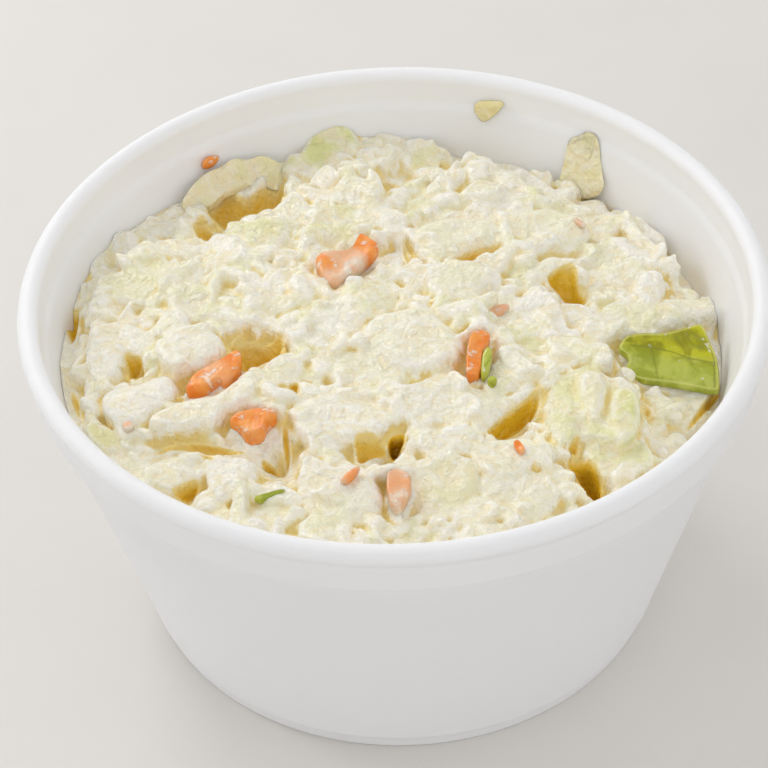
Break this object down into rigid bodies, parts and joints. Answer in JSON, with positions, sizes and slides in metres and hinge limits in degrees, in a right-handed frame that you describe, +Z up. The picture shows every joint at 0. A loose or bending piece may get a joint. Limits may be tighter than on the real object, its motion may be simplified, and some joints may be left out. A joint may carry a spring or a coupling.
{
  "type": "coleslaw in a foam cup",
  "caption": "Chopped creamy coleslaw with carrot pieces and a green leaf, heaped in a squat round white foam cup with a rolled rim",
  "frame": {"origin": "centre of the cup's foot, on the plane that it rests on", "axes": "+Z up along the cup's axis, -Y towards the picture's camera, +X to its right"},
  "size_m": [0.09, 0.09, 0.0463],
  "materials": {
    "foam": "white expanded foam, satin, with faint moulded rings and bead texture",
    "slaw": "pale cream dressing over translucent green-white cabbage, wet and glossy",
    "leaf": "yellow-green cabbage leaf, wet, with paler veins",
    "carrot": "orange carrot under a thin veil of dressing, wet"
  },
  "bodies": {
    "root": {"cup": "foam", "slaw": "slaw", "green_leaf": "leaf", "carrot_1": "carrot", "carrot_2": "carrot", "carrot_3": "carrot", "carrot_4": "carrot", "carrot_5": "carrot"}
  },
  "joints": []
}
